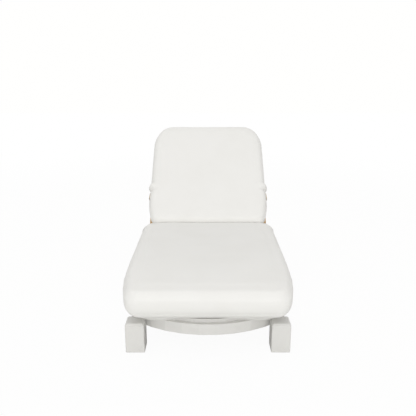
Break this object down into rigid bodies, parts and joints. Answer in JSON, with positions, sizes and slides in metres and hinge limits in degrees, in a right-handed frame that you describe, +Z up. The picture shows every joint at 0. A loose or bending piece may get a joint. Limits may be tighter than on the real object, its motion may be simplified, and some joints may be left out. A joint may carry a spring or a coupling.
{
  "type": "spa relaxation lounger",
  "caption": "Low padded spa lounger with a thick seat cushion on a white block-leg base with a bowed front, and a padded back on an oak frame that folds from reclined to flat.",
  "frame": {"origin": "on the floor, at the middle of the lounger's width and length", "axes": "+Z up, -Y towards the foot end, +X to the right as seen from the foot end"},
  "size_m": [0.816, 1.9, 0.9108],
  "materials": {
    "white_lacquer": "satin white lacquer on wood",
    "glide_felt": "dense grey felt",
    "beech": "plain beech",
    "plywood": "birch plywood",
    "cushion_cover": "soft off-white cover over foam",
    "steel": "white powder coat",
    "bright_steel": "bright zinc plated",
    "oak": "oiled light oak",
    "rest_rubber": "black rubber",
    "bush_plastic": "natural nylon",
    "webbing": "tan webbing"
  },
  "bodies": {
    "base": {"front_leg_right": "white_lacquer", "front_leg_left": "white_lacquer", "rear_leg_right": "white_lacquer", "rear_leg_left": "white_lacquer", "side_rail_right": "white_lacquer", "side_rail_left": "white_lacquer", "front_apron": "white_lacquer", "front_shelf": "white_lacquer", "seat_cross_rail": "white_lacquer", "hinge_cross_rail": "white_lacquer", "rear_rail": "white_lacquer", "rest_blocks": "white_lacquer", "seat_deck": "white_lacquer", "leg_glides": "glide_felt", "frame_dowels": "beech", "seat_cushion": "cushion_cover", "hinge_bracket_right": "steel", "hinge_bracket_left": "steel", "hinge_pin_right": "bright_steel", "hinge_pin_left": "bright_steel", "hinge_pin_clips": "bright_steel", "bracket_screws": "bright_steel", "rack_screws": "bright_steel", "prop_rack_right": "oak", "prop_rack_left": "oak", "rest_pads": "rest_rubber"},
    "back": {"back_stile_right": "oak", "back_stile_left": "oak", "back_rail_bottom": "oak", "back_rail_lower": "oak", "back_rail_upper": "oak", "back_rail_top": "oak", "hinge_bushes": "bush_plastic", "back_board": "plywood", "board_screws": "bright_steel", "back_cushion": "cushion_cover", "cushion_straps": "webbing", "prop_pin_right": "bright_steel", "prop_pin_left": "bright_steel", "prop_nuts": "bright_steel", "prop_spacers": "bright_steel"},
    "prop": {"prop_arm_right": "oak", "prop_arm_left": "oak", "prop_bushes": "bush_plastic", "prop_foot_bar": "oak", "prop_stretcher": "oak"}
  },
  "joints": [
    {"name": "backrest_recline", "type": "hinge", "parent": "base", "child": "back", "pos_m": [0, 0.0233, 0.239], "axis": [1, 0, 0], "range_deg": [-39.5, 0]},
    {"name": "prop_swing", "type": "hinge", "parent": "back", "child": "prop", "pos_m": [0, 0.29448, 0.44409], "axis": [1, 0, 0], "range_deg": [0, 79]}
  ],
  "couplings": [
    {"joint": "prop_swing", "follows": "backrest_recline", "ratio": -2}
  ]
}
